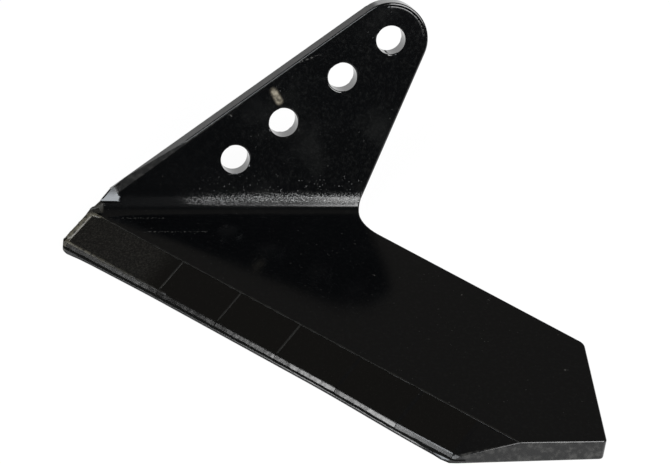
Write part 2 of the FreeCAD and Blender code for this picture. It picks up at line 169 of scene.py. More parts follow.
class Graph:
    """One material's nodes, started from a blank sheet."""

    def __init__(self, name: str) -> None:
        """Open a new material.

        Args:
            name: The material's name.
        """
        self.material = bpy.data.materials.new(name)
        self.material.use_nodes = True
        self.tree = self.material.node_tree
        self.tree.nodes.clear()

    def node(self, kind: str, settings: dict[str, Any] | None = None,
             inputs: dict[Any, Any] | None = None) -> bpy.types.Node:
        """Add a node.

        Args:
            kind: The node's type.
            settings: Its own settings, set first.
            inputs: Numbers, colours or values for its sockets.

        Returns:
            The node.
        """
        made = self.tree.nodes.new(kind)
        for name, setting in (settings or {}).items():
            setattr(made, name, setting)
        for name, given in (inputs or {}).items():
            if isinstance(given, Value):
                self.tree.links.new(given.socket, made.inputs[name])
            else:
                made.inputs[name].default_value = given
        return made

    def value(self, kind: str, output: str, settings: dict[str, Any] | None = None,
              inputs: dict[Any, Any] | None = None) -> Value:
        """Add a node and hand back one of its outputs.

        Args:
            kind: The node's type.
            output: The output's name.
            settings: Its own settings.
            inputs: Numbers, colours or values for its sockets.

        Returns:
            The output.
        """
        return Value(self, self.node(kind, settings, inputs).outputs[output])

    def place(self) -> Value:
        """The point on the piece, in metres."""
        return self.value("ShaderNodeTexCoord", "Object")

    def along(self, point: Value, axis: Sequence[float]) -> Value:
        """How far a point lies along an axis.

        Args:
            point: The point.
            axis: The axis.

        Returns:
            The distance.
        """
        return self.value("ShaderNodeVectorMath", "Value", {"operation": "DOT_PRODUCT"},
                          {0: point, 1: tuple(axis)})

    def run(self, point: Value) -> Value:
        """How far along the cutting edge a point lies."""
        return self.along(point, ALONG) - EDGE_START.dot(ALONG)

    def back(self, point: Value) -> Value:
        """How far behind the cutting edge a point lies."""
        return self.along(point, INWARD) - EDGE_START.dot(INWARD)

    def depth(self, point: Value) -> Value:
        """How far back a point lies, square to the bend."""
        return self.along(point, (0.0, 1.0, 0.0))

    def height(self, point: Value) -> Value:
        """How high a point lies."""
        return self.along(point, (0.0, 0.0, 1.0))

    def noise(self, point: Value, scale: float, detail: float = 2.0, rough: float = 0.5) -> Value:
        """Soft noise between 0 and 1.

        Args:
            point: Where it is read.
            scale: Grains per metre.
            detail: Finer layers.
            rough: Weight of the finer layers.

        Returns:
            The noise.
        """
        return self.value("ShaderNodeTexNoise", "Fac", {},
                          {"Vector": point, "Scale": scale, "Detail": detail, "Roughness": rough})

    def blend(self, share: Value, base: Any, top: Any) -> Value:
        """Mix two colours.

        Args:
            share: How much of the top colour shows.
            base: The colour below.
            top: The colour above.

        Returns:
            The mixed colour.
        """
        made = self.node("ShaderNodeMix", {"data_type": "RGBA"})
        for index, given in ((0, share), (6, base), (7, top)):
            if isinstance(given, Value):
                self.tree.links.new(given.socket, made.inputs[index])
            else:
                made.inputs[index].default_value = given
        return Value(self, made.outputs[2])

    def stroke(self, point: Value, start: Vector, end: Vector, width: float) -> Value:
        """Mask of a short mark drawn from one point to another.

        Args:
            point: Where the mask is read.
            start: One end of the mark.
            end: The other end.
            width: Its half width.

        Returns:
            1 on the mark and 0 away from it.
        """
        run = end - start
        offset = self.value("ShaderNodeVectorMath", "Vector", {"operation": "SUBTRACT"},
                            {0: point, 1: tuple(start)})
        share = self.along(offset, run / run.length_squared).math("ADD", 0.0, clamp=True)
        foot = self.value("ShaderNodeVectorMath", "Vector", {"operation": "SCALE"},
                          {0: tuple(run), "Scale": share})
        gap = self.value("ShaderNodeVectorMath", "Value", {"operation": "DISTANCE"},
                         {0: offset, 1: foot})
        return gap.ramp(width, 0.25 * width)

    def seam(self, point: Value) -> Value:
        """Where the seam between the steel lip and the tile fronts gets dull black: painted shade in
        the groove.

        Args:
            point: The point on the piece.

        Returns:
            The mask.
        """
        high = self.height(point) + self.noise(point, 260.0, 2.0) * 0.0005
        back = self.back(point)
        return high.ramp(0.00140, 0.00160) * high.ramp(0.00245, 0.00220) * back.ramp(0.0036, 0.0032)

    def finish(self, colour: Value, roughness: Value, height: Value,
               dull: Value | float = 0.0) -> bpy.types.Material:
        """Close the material with one gloss shader, mixed with dull black where asked.

        Args:
            colour: Its colour.
            roughness: Its roughness.
            height: Its relief, in metres.
            dull: Share of dull black.

        Returns:
            The material.
        """
        relief = self.value("ShaderNodeBump", "Normal", {},
                            {"Height": height, "Distance": 1.0, "Strength": 1.0})
        gloss = self.value("ShaderNodeBsdfPrincipled", "BSDF", {}, {
            "Base Color": colour, "Roughness": roughness, "Normal": relief, "IOR": 1.5})
        matte = self.value("ShaderNodeBsdfDiffuse", "BSDF", {}, {"Color": DULL_BLACK})
        shader = self.value("ShaderNodeMixShader", "Shader", {}, {0: dull, 1: gloss, 2: matte})
        self.node("ShaderNodeOutputMaterial", {}, {"Surface": shader})
        return self.material


@dataclass(frozen=True)
class GlossBlack:
    """Dipped gloss black paint over hot-rolled plate."""

    name: str = "gloss_black_paint"
    colour: tuple[float, float, float, float] = (0.0007, 0.0008, 0.0010, 1.0)
    cloud: tuple[float, float, float, float] = (0.0076, 0.0078, 0.0075, 1.0)
    dust: tuple[float, float, float, float] = (0.040, 0.039, 0.036, 1.0)
    bare: tuple[float, float, float, float] = (0.20, 0.175, 0.13, 1.0)
    # Painted highlight: pale colour on the grit specks of the bend, standing in for their glints.
    painted_sparkle: tuple[float, float, float, float] = (0.20, 0.20, 0.195, 1.0)
    braze: tuple[float, float, float, float] = (0.042, 0.038, 0.028, 1.0)
    roughness: float = 0.09
    peel: float = 2.0e-6
    grit: float = 1.05e-4
    dip_left: float = 0.0822
    dip_foot: float = 0.0494
    dip_turn: float = 24.0
    dip_roll: float = 50.0

    def make(self) -> bpy.types.Material:
        """Build the paint.

        Returns:
            The material.
        """
        graph = Graph(self.name)
        point = graph.place()
        depth = graph.depth(point)
        wide = graph.noise(point, 45.0, 3.0)
        fine = graph.noise(point, 1500.0, 2.0, 0.6)
        specks = graph.noise(point, 950.0, 1.0).ramp(0.75, 0.81) * wide.ramp(0.35, 0.6)
        edge = self.cut_edges(graph, point)
        wedge = self.foot_wedge(graph, point)
        rim = self.front_rim(graph, point).larger(wedge * 0.7)
        rub = self.rub(graph, point)
        scratches = self.scratches(graph, point)
        flange = depth.ramp(0.056, 0.062)
        # The grit's mask gives the bend its relief and also its painted highlight specks.
        grit = self.bend_grit_and_painted_sparkle(graph, point, depth)
        height = grit * self.grit + specks * 3.0e-5
        height = height + graph.noise(point, 260.0, 1.0) * self.peel
        height = height + fine * (edge * 2.4e-5 + rim * 2.0e-5 + flange * 1.5e-6)
        height = height - self.foot_dip(graph, point)
        grain = graph.noise(point, 620.0, 3.0, 0.7).ramp(0.46, 0.74)
        right = graph.along(point, (1.0, 0.0, 0.0)).ramp(-0.065, 0.0)
        colour = graph.blend(wide.ramp(0.50, 0.78) * flange * right * 0.5, self.colour, self.cloud)
        colour = graph.blend(grain * (flange * right * 0.30 + 0.14), colour, self.cloud)
        colour = graph.blend(specks * 0.4, colour, self.dust)
        # Painted highlight: pale specks on the bend's grit stand in for its glints.
        colour = graph.blend(grit * depth.ramp(0.0574, 0.0582) * 0.75, colour, self.painted_sparkle)
        mottle = graph.noise(point, 330.0, 3.0, 0.6).ramp(0.42, 0.72)
        colour = graph.blend(edge * mottle * 0.55, colour, self.dust)
        colour = graph.blend(rim * fine.ramp(0.25, 0.55) * 0.8, colour, self.braze)
        colour = graph.blend(rub, colour, self.bare)
        colour = graph.blend(scratches * 0.5, colour, self.dust)
        roughness = wide * 0.06 + self.roughness + specks * 0.2 + self.worn_lip(graph, point) * 0.28
        roughness = roughness + rub * 0.4 + scratches * 0.2 + edge * 0.22 + rim * 0.16
        # Dull black: painted shade in the seam between lip and tiles, and a matte share on the flange's
        # cut edge and the foot wedge.
        dull = graph.seam(point).larger(edge * flange * 0.42).larger(wedge * 0.6)
        return graph.finish(colour, roughness + wedge * 0.25, height, dull)

    def bend_grit_and_painted_sparkle(self, graph: Graph, point: Value, depth: Value) -> Value:
        """Grit of the stretched paint in the bend, thinning out up the flange; the same mask paints
        pale highlight specks into the colour.

        Args:
            graph: The material.
            point: The point on the piece.
            depth: How far back the point lies.

        Returns:
            The mask of the grit and of its painted highlight specks.
        """
        inside = graph.along(point, (1.0, 0.0, 0.0)).ramp(-0.062, -0.010)
        band = depth.ramp(0.0564, 0.0573) * depth.ramp(0.0605, 0.0582) * inside
        sparse = depth.ramp(0.0580, 0.0590) * depth.ramp(0.0640, 0.0600) * inside
        grains = graph.noise(point, 1650.0, 2.0, 0.7).ramp(0.50, 0.62)
        dots = graph.noise(point, 1250.0, 1.0).ramp(0.71, 0.77)
        return (grains * band).larger(dots * sparse * 0.7)

    def cut_edges(self, graph: Graph, point: Value) -> Value:
        """Where the sheared edges lie that are painted rougher: flange side and end face.

        Args:
            graph: The material.
            point: The point on the piece.

        Returns:
            The mask.
        """
        reach = FLANGE_CORNER.dot(FLANGE_LEFT)
        left = graph.along(point, FLANGE_LEFT).ramp(reach - 0.0019, reach - 0.0011)
        left = left * graph.height(point).ramp(0.014, 0.018)
        end = graph.depth(point).ramp(-0.1011, -0.1016)
        return left.larger(end)

    def front_rim(self, graph: Graph, point: Value) -> Value:
        """Where braze ran over the rim in front of the first tile.

        Args:
            graph: The material.
            point: The point on the piece.

        Returns:
            The mask.
        """
        run = graph.run(point)
        back = graph.back(point)
        low = graph.height(point).ramp(0.0118, 0.0100)
        return run.ramp(0.0042, 0.0036) * back.ramp(0.0205, 0.0192) * low

    def foot_wedge(self, graph: Graph, point: Value) -> Value:
        """Where the sheared side shows as a rough wedge between the foot and the first tile.

        Args:
            graph: The material.
            point: The point on the piece.

        Returns:
            The mask.
        """
        left = graph.along(point, (1.0, 0.0, 0.0)).ramp(-0.0905, -0.0920)
        low = graph.height(point).ramp(0.0138, 0.0124)
        depth = graph.depth(point)
        return left * low * depth.ramp(0.0530, 0.0545) * depth.ramp(0.0625, 0.0600)

    def worn_lip(self, graph: Graph, point: Value) -> Value:
        """Where the steel lip under the tiles is worn dull, all but its rear end.

        Args:
            graph: The material.
            point: The point on the piece.

        Returns:
            The mask.
        """
        run = graph.run(point)
        back = graph.back(point)
        low = graph.height(point).ramp(0.0013, 0.0009)
        return low * back.ramp(0.0034, 0.0030) * run.ramp(0.200, 0.175)

    def foot_dip(self, graph: Graph, point: Value) -> Value:
        """Soft dip where the flange's foot turns away at its outer corner.

        Args:
            graph: The material.
            point: The point on the piece.

        Returns:
            The dip's depth.
        """
        slide = (graph.along(point, (-1.0, 0.0, 0.0)) - self.dip_left).larger(0.0)
        bent = slide.math("MINIMUM", 0.0055)
        rise = (graph.along(point, (0.0, 0.7071, 0.7071)) - self.dip_foot).larger(0.0)
        curl = rise.math("MINIMUM", 0.0042)
        across = graph.depth(point) - BEND_AXIS[0]
        above = graph.height(point) - BEND_AXIS[1]
        hollow = (across * across + above * above).ramp(1.26e-4, 1.08e-4)
        near = across.ramp(0.0134, 0.0100) * hollow
        turn = (slide * 2.0 - bent) * bent * self.dip_turn * rise.ramp(0.0, 0.0012)
        roll = (rise * 2.0 - curl) * curl * self.dip_roll * slide.ramp(0.0, 0.0040)
        return (turn + roll) * near

    def rub(self, graph: Graph, point: Value) -> Value:
        """The pale rub mark beside a bolt hole.

        Args:
            graph: The material.
            point: The point on the piece.

        Returns:
            The mark's mask.
        """
        start = Vector((-0.0166, 0.0774, 0.0596))
        end = Vector((-0.0140, 0.0757, 0.0553))
        cloud = graph.noise(point, 420.0, 3.0).ramp(0.30, 0.70)
        soft = graph.stroke(point, start, end, 0.0029)
        return soft * soft * soft * (cloud * 0.6 + 0.15)

    def scratches(self, graph: Graph, point: Value) -> Value:
        """Thin scratches on flange and wing.

        Args:
            graph: The material.
            point: The point on the piece.

        Returns:
            The scratches' mask.
        """
        lines = (
            ((-0.0054, 0.0823, 0.0719), (0.0043, 0.0837, 0.0753), 0.0005),
            ((-0.0740, 0.0400, 0.0100), (-0.0465, 0.0400, 0.0100), 0.0006),
            ((-0.0830, 0.0500, 0.0100), (-0.0640, 0.0500, 0.0100), 0.0005),
            ((-0.0360, 0.0734, 0.0497), (-0.0352, 0.0732, 0.0490), 0.0008),
            ((0.0231, 0.0088, 0.0100), (0.0240, 0.0086, 0.0100), 0.0006),
            ((0.0598, -0.0054, 0.0100), (0.0606, -0.0053, 0.0100), 0.0006),
            ((0.0962, -0.0563, 0.0100), (0.0970, -0.0562, 0.0100), 0.0008),
        )
        mask = None
        for start, end, width in lines:
            stroke = graph.stroke(point, Vector(start), Vector(end), width)
            mask = stroke if mask is None else mask.larger(stroke)
        return mask * graph.noise(point, 900.0, 2.0).ramp(0.48, 0.62)


@dataclass(frozen=True)
class TilePaint:
    """Thin black paint over the hard-metal tiles, grainy where the front tile is worn."""

    name: str = "tile_paint"
    colour: tuple[float, float, float, float] = (0.0007, 0.00065, 0.0006, 1.0)
    grey: tuple[float, float, float, float] = (0.016, 0.015, 0.0125, 1.0)
    roughness: float = 0.14

    def make(self) -> bpy.types.Material:
        """Build the paint.

        Returns:
            The material.
        """
        graph = Graph(self.name)
        point = graph.place()
        run = graph.along(point, ALONG)
        start = EDGE_START.dot(ALONG)
        front = run.ramp(start + 0.052, start + 0.040)
        grain = graph.noise(point, 1100.0, 3.0, 0.65)
        fine = graph.noise(point, 420.0, 2.0)
        flecks = graph.noise(point, 1150.0, 3.0, 0.65).ramp(0.42, 0.74)
        height = grain * (front * 1.6e-5 + 1.5e-6) + fine * 2.5e-6
        low = graph.height(point).ramp(0.0037, 0.0034)
        dents = graph.noise(point, 190.0, 2.0) * low * run.ramp(start + 0.182, start + 0.172)
        height = height + dents * 9.0e-5
        speckle = flecks * (front * 0.42 + 0.04)
        colour = graph.blend(speckle + grain * front * 0.07, self.colour, self.grey)
        roughness = front * 0.10 + self.roughness + fine * 0.05
        # The seam's dull black is painted shade in the groove between lip and tiles.
        return graph.finish(colour, roughness, height, graph.seam(point))


@dataclass(frozen=True)
class BrazePaint:
    """Paint over the braze that squeezed out round the tiles."""

    name: str = "braze_paint"
    colour: tuple[float, float, float, float] = (0.0030, 0.0028, 0.0024, 1.0)
    pale: tuple[float, float, float, float] = (0.020, 0.0185, 0.015, 1.0)
    bare: tuple[float, float, float, float] = (0.050, 0.046, 0.034, 1.0)
    roughness: float = 0.34

    def make(self) -> bpy.types.Material:
        """Build the paint.

        Returns:
            The material.
        """
        graph = Graph(self.name)
        point = graph.place()
        lumps = graph.noise(point, 520.0, 2.0)
        grain = graph.noise(point, 1700.0, 2.0)
        run = graph.run(point)
        low = graph.height(point).ramp(0.0060, 0.0045)
        front = run.ramp(0.0120, 0.0040).larger(low * run.ramp(0.0600, 0.0200) * 0.6)
        colour = graph.blend(grain.ramp(0.42, 0.70) * 0.45, self.colour, self.pale)
        colour = graph.blend(front * lumps.ramp(0.25, 0.60), colour, self.bare)
        roughness = lumps * 0.12 + self.roughness
        height = lumps * 6.0e-5 + grain * 6.0e-6
        return graph.finish(colour, roughness, height, run.ramp(0.010, 0.030) * 0.5)


def pick(piece: bpy.types.Object, wanted: Callable[[bpy.types.MeshEdge], bool]) -> None:
    """Select edges of a piece in object mode, and nothing else.

    Args:
        piece: The piece.
        wanted: The test that an edge passes.
    """
    mesh = piece.data
    for group in (mesh.vertices, mesh.polygons):
        group.foreach_set("select", [False] * len(group))
    mesh.edges.foreach_set("select", [wanted(edge) for edge in mesh.edges])
    for edge in mesh.edges:
        if edge.select:
            for index in edge.vertices:
                mesh.vertices[index].select = True


def deselect() -> None:
    """Deselect every object."""
    bpy.ops.object.select_all(action="DESELECT")


def activate(piece: bpy.types.Object) -> None:
    """Select one object and make it the active one."""
    deselect()
    piece.select_set(True)
    bpy.context.view_layer.objects.active = piece


def copy_node(node: str, name: str) -> bpy.types.Object:
    """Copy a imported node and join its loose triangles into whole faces.

    Args:
        node: The node's name.
        name: The copy's name.

    Returns:
        The copy.
    """
    activate(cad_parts[node])
    bpy.ops.object.duplicate()
    piece = bpy.context.object
    piece.name = name
    piece.parent = None
    piece.matrix_world = Matrix.Identity(4)
    for key in list(piece.keys()):
        del piece[key]
    if piece.data.has_custom_normals:
        bpy.ops.mesh.customdata_custom_splitnormals_clear()
    bpy.ops.object.mode_set(mode="EDIT")
    bpy.ops.mesh.select_mode(type="VERT")
    bpy.ops.mesh.select_all(action="SELECT")
    bpy.ops.mesh.remove_doubles(threshold=1e-4)
    bpy.ops.mesh.dissolve_limited(angle_limit=math.radians(0.4), use_dissolve_boundaries=False)
    bpy.ops.mesh.normals_make_consistent(inside=False)
    bpy.ops.object.mode_set(mode="OBJECT")
    return piece


def apply_modifiers(piece: bpy.types.Object) -> None:
    """Apply a piece's modifiers in order."""
    activate(piece)
    for modifier in list(piece.modifiers):
        bpy.ops.object.modifier_apply(modifier=modifier.name)


def paint(piece: bpy.types.Object, material: bpy.types.Material) -> None:
    """Give a piece one material and let it ride on the share.

    Args:
        piece: The piece.
        material: Its material.
    """
    piece.data.materials.clear()
    piece.data.materials.append(material)
    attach(piece, BODY)


def flare(point: Vector) -> Vector:
    """How far the cutting edge stands out of its straight line, more towards both ends.

    Args:
        point: A point on the share.

    Returns:
        The offset.
    """
    run = (point - EDGE_START).dot(ALONG)
    back = (point - EDGE_START).dot(INWARD)
    share = 1.0 - smooth((back - 3.5 * MM) / (13.0 * MM))
    front = FLARE_FRONT * smooth((0.060 - run) / 0.060)
    rear = FLARE_REAR * smooth((run - 0.135) / 0.060) * (1.0 - 0.5 * smooth((run - 0.198) / 0.012))
    if point.z > TOP_FACE + 0.5 * MM:
        return Vector((0.0, 0.0, 0.0))
    return INWARD * (-share * (FLARE + front + rear))


def smooth(share: float) -> float:
    """Ease a share between 0 and 1."""
    share = min(max(share, 0.0), 1.0)
    return share * share * (3.0 - 2.0 * share)


@dataclass
class Corner:
    """An edge of the plate with the two faces that meet there."""

    index: int
    middle: Vector
    length: float
    normals: tuple[Vector, Vector]
    centres: tuple[Vector, Vector]

    def angle(self) -> float:
        """How far the surface turns over the edge."""
        return self.normals[0].angle(self.normals[1], 0.0)

    def is_hollow(self) -> bool:
        """Whether the edge is an inside corner."""
        return (self.centres[1] - self.centres[0]).dot(self.normals[0]) > 0.0

    def touches(self, facing: Sequence[float], near: float = 0.9985) -> bool:
        """Whether one of the two faces lies a given way.

        Args:
            facing: The way.
            near: How closely it has to agree.

        Returns:
            True if it does.
        """
        return any(normal.dot(Vector(facing)) > near for normal in self.normals)


@dataclass
class Plate:
    """The bent plate with softly rounded edges."""

    widest: float = 6.0 * MM
    outline_round: float = 0.8 * MM
    hole_round: float = 0.6 * MM
    cutting_round: float = 1.25 * MM
    lip_round: float = 0.45 * MM
    seat_round: float = 0.25 * MM
    front_round: float = 1.7 * MM
    foot_round: float = 1.0 * MM
    least: float = 0.12 * MM
    foot_reach: float = 17.0 * MM
    bulge: float = 3.1 * MM
    bulge_reach: float = 52.0 * MM
    hole_reach: float = 6.9 * MM
    tip_reach: float = 7.0 * MM
    tip_height: float = 4.2 * MM
    foot_low: float = 11.9 * MM
    foot_top: float = 16.0 * MM
    foot_left: float = 85.0 * MM
    front_run: float = 25.0 * MM
    edge_cuts: int = 30
    segments: int = 4
    sharp: float = math.radians(24.0)

    def build(self, material: bpy.types.Material) -> bpy.types.Object:
        """Copy the plate, round its edges and paint it.

        Args:
            material: The paint.

        Returns:
            The dressed plate.
        """
        piece = copy_node("share_plate", "painted_plate")
        self.divide(piece, FLANGE_LEFT, 100.0 * MM)
        self.divide(piece, Lie.FACET.value, 150.0 * MM)
        self.bulge_foot(piece)
        self.mark_edges(piece)
        for vertex in piece.data.vertices:
            vertex.co += flare(vertex.co)
        self.round_edges(piece)
        self.smooth_bend(piece)
        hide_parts("share_plate")
        paint(piece, material)
        return piece

    def corners(self, piece: bpy.types.Object) -> list[Corner]:
        """All edges of the plate with their two faces.

        Args:
            piece: The merged copy.

        Returns:
            The edges.
        """
        faces: dict[tuple[int, int], list[bpy.types.MeshPolygon]] = {}
        for face in piece.data.polygons:
            for key in face.edge_keys:
                faces.setdefault(key, []).append(face)
        found = []
        for edge in piece.data.edges:
            pair = faces.get(tuple(sorted(edge.vertices)), [])
            if len(pair) != 2:
                continue
            ends = [piece.data.vertices[index].co for index in edge.vertices]
            found.append(Corner(
                edge.index, (ends[0] + ends[1]) / 2, (ends[0] - ends[1]).length,
                (pair[0].normal.copy(), pair[1].normal.copy()),
                (pair[0].center.copy(), pair[1].center.copy())))
        return found

    def divide(self, piece: bpy.types.Object, facing: Sequence[float], least: float) -> None:
        """Divide the long edges of one side, so that their rounding can taper.

        Args:
            piece: The merged copy.
            facing: How the side's face lies.
            least: Length from which an edge is divided.
        """
        sides = {corner.index for corner in self.corners(piece)
                 if corner.length > least and corner.touches(facing)}
        pick(piece, lambda edge: edge.index in sides)
        bpy.ops.object.mode_set(mode="EDIT")
        bpy.ops.mesh.subdivide(number_cuts=self.edge_cuts)
        bpy.ops.object.mode_set(mode="OBJECT")

    def bulge_foot(self, piece: bpy.types.Object) -> None:
        """Let the flange's left side swell towards the foot of the bend, as pressed plate does.

        Args:
            piece: The merged copy.
        """
        up = FLANGE_FACING.cross(FLANGE_LEFT).normalized()
        up = up if up.z > 0.0 else -up
        for vertex in piece.data.vertices:
            offset = vertex.co - FLANGE_CORNER
            height = offset.dot(up)
            on_edge = (offset - up * height).length < 0.3 * MM
            if on_edge and -0.1 * MM < height < self.bulge_reach:
                share = smooth(1.0 - height / self.bulge_reach) * (0.8 + 0.2 * smooth(height / 0.01))
                vertex.co += FLANGE_LEFT * (self.bulge * share)
            in_bend = abs(self.spoke(vertex.co).length - BEND_RADII[0]) < 0.05 * MM
            if in_bend and vertex.co.x < -0.0870:
                vertex.co.x += self.foot_shift(vertex.co.z / MM) * MM

    def foot_shift(self, height: float) -> float:
        """How far the bend's inner edge is moved to the right at the foot.

        Args:
            height: Height above the floor, in millimetres.

        Returns:
            The shift in millimetres.
        """
        for (low, start), (high, end) in zip(FOOT_EDGE, FOOT_EDGE[1:]):
            if low <= height <= high:
                return start + (end - start) * (height - low) / (high - low)
        return 0.0

    def mark_edges(self, piece: bpy.types.Object) -> None:
        """Give each sharp edge the share of the widest rounding that it gets.

        Args:
            piece: The merged copy.
        """
        weights = piece.data.attributes.new("bevel_weight_edge", "FLOAT", "EDGE")
        for corner in self.corners(piece):
            if corner.angle() > self.sharp and not corner.is_hollow():
                weights.data[corner.index].value = self.rounding(corner) / self.widest

    def rounding(self, corner: Corner) -> float:
        """Width of the rounding on an edge.

        Args:
            corner: The edge.

        Returns:
            The width.
        """
        middle = corner.middle
        back = (middle - EDGE_START).dot(INWARD)
        run = (middle - EDGE_START).dot(ALONG)
        for hole in BOLT_HOLES:
            offset = middle - hole
            if (offset - FLANGE_FACING * offset.dot(FLANGE_FACING)).length < self.hole_reach:
                return self.hole_round
        at_tip = min((middle - tip).length for tip in ROW_TIPS) < self.tip_reach
        if at_tip and middle.z < self.tip_height and back < self.tip_height:
            return 0.0
        if corner.touches(Lie.FACET.value):
            return self.facet(corner, run)
        if back < RIDGE_BACK - 1.0 * MM and corner.touches(Lie.SLOPE.value):
            return self.front(corner, middle, run)
        if abs(back - RIDGE_BACK) < 0.3 * MM:
            return self.seat_round
        in_bend = abs(self.spoke(middle).length - BEND_RADII[0]) < 0.3 * MM
        if in_bend and middle.x < -self.foot_left and middle.z < self.foot_top:
            taper = smooth((middle.z - self.foot_low) / (3.0 * MM))
            return self.least + (self.foot_round - self.least) * taper
        foot = (middle - FLANGE_CORNER - Vector((-0.002, -0.001, -0.001))).length
        if corner.touches(FLANGE_FACING) or middle.z > self.foot_low and run < self.front_run:
            swell = smooth(1.0 - foot / self.foot_reach)
            return self.outline_round + (self.foot_round - self.outline_round) * swell
        return self.outline_round

    def facet(self, corner: Corner, run: float) -> float:
        """Width of the rounding on the facet's edges.

        Args:
            corner: The edge.
            run: Its place along the row.

        Returns:
            The width.
        """
        if corner.touches(Lie.FLOOR.value):
            return self.lip_round
        if corner.touches(Lie.UNDER.value):
            taper = smooth((run - 0.006) / 0.016) * smooth((0.206 - run) / 0.016)
            return self.least + (self.cutting_round - self.least) * taper
        return self.seat_round

    def front(self, corner: Corner, middle: Vector, run: float) -> float:
        """Width of the rounding on the rim round the front end and the corner at the row's end.

        Args:
            corner: The edge.
            middle: Its middle.
            run: Its place along the row.

        Returns:
            The width.
        """
        if corner.touches(ALONG) or corner.touches(-ALONG) and run > 1.0 * MM:
            return self.seat_round
        if run > 100.0 * MM:
            return self.seat_round * 2.0
        rise = smooth((middle.z - LIP_TOP) / 1.5e-3)
        return self.lip_round + (self.front_round - self.lip_round) * rise

    def round_edges(self, piece: bpy.types.Object) -> None:
        """Round the marked edges and keep the flat faces flat.

        Args:
            piece: The marked copy.
        """
        activate(piece)
        bpy.ops.object.shade_smooth_by_angle(angle=self.sharp)
        bevel = piece.modifiers.new("rounding", "BEVEL")
        bevel.limit_method = "WEIGHT"
        bevel.width = self.widest
        bevel.segments = self.segments
        bevel.use_clamp_overlap = False
        weighted = piece.modifiers.new("flat_faces", "WEIGHTED_NORMAL")
        weighted.keep_sharp = True
        weighted.weight = FLAT_WEIGHT
        apply_modifiers(piece)

    def smooth_bend(self, piece: bpy.types.Object) -> None:
        """Shade the slices of the bend as the round surface that they stand for.

        Args:
            piece: The rounded copy.
        """
        mesh = piece.data
        normals = [corner.vector.copy() for corner in mesh.corner_normals]
        for face in mesh.polygons:
            spokes = [self.spoke(mesh.vertices[index].co) for index in face.vertices]
            reach = [spoke.length for spoke in spokes]
            for radius in BEND_RADII:
                if max(abs(length - radius) for length in reach) > 0.04 * MM:
                    continue
                if face.center.y < BEND_AXIS[0] or abs(face.normal.x) > 0.02:
                    continue
                sign = 1.0 if spokes[0].dot(face.normal) > 0.0 else -1.0
                for loop, spoke in zip(face.loop_indices, spokes):
                    normals[loop] = spoke.normalized() * sign
        mesh.normals_split_custom_set(normals)

    def spoke(self, point: Vector) -> Vector:
        """From the bend's axis straight out to a point."""
        return Vector((0.0, point.y - BEND_AXIS[0], point.z - BEND_AXIS[1]))


@dataclass
class Bead:
    """A run of braze or paint that stands a little proud of the surface."""

    name: str
    radii: Sequence[float]
    flat: float = 1.0
    sides: int = 12

    def straight(self, start: Vector, end: Vector) -> bpy.types.Object:
        """Draw the bead ring by ring from one point to another.

        Args:
            start: Centre of its first ring.
            end: Centre of its last ring.

        Returns:
            The bead.
        """
        step = (end - start) / (len(self.radii) - 1)
        self.first_ring(start, step)
        for last, radius in zip(self.radii, self.radii[1:]):
            bpy.ops.mesh.extrude_region_move(TRANSFORM_OT_translate={"value": step})
            self.resize(radius / last)
        return self.close()

    def round(self, start: Vector, centre: Vector, axis: Vector, turn: float) -> bpy.types.Object:
        """Draw the bead ring by ring about a centre.

        Args:
            start: Centre of its first ring.
            centre: Where it turns about.
            axis: The axis of the turn.
            turn: How far it turns.

        Returns:
            The bead.
        """
        self.first_ring(start, axis.cross(start - centre) * (1.0 if turn > 0.0 else -1.0))
        each = turn / (len(self.radii) - 1)
        for last, radius in zip(self.radii, self.radii[1:]):
            bpy.ops.mesh.spin(steps=1, angle=each, center=centre, axis=axis)
            self.resize(radius / last)
        return self.close()

    def first_ring(self, place: Vector, heading: Vector) -> None:
        """Lay the first ring and open it for editing.

        Args:
            place: Its centre.
            heading: Which way the bead starts.
        """
        deselect()
        turn = heading.to_track_quat("Z", "Y").to_euler()
        bpy.ops.mesh.primitive_circle_add(vertices=self.sides, radius=self.radii[0],
                                          fill_type="NOTHING", location=place, rotation=turn)
        bpy.context.object.name = self.name
        bpy.context.object.scale = (1.0, self.flat, 1.0)
        bpy.ops.object.transform_apply(location=True, rotation=True, scale=True)
        bpy.ops.object.mode_set(mode="EDIT")
        bpy.ops.mesh.select_mode(type="EDGE")
        bpy.ops.mesh.select_all(action="SELECT")

    def resize(self, factor: float) -> None:
        """Widen or narrow the newest ring about its own centre."""
        bpy.ops.transform.resize(value=(factor, factor, factor))

    def close(self) -> bpy.types.Object:
        """Close both ends, face everything outward and shade it smooth.

        Returns:
            The bead.
        """
        bpy.ops.mesh.select_all(action="SELECT")
        bpy.ops.mesh.fill_holes(sides=0)
        bpy.ops.mesh.select_all(action="SELECT")
        bpy.ops.mesh.normals_make_consistent(inside=False)
        bpy.ops.object.mode_set(mode="OBJECT")
        bpy.ops.object.shade_smooth_by_angle(angle=math.radians(50.0))
        return bpy.context.object


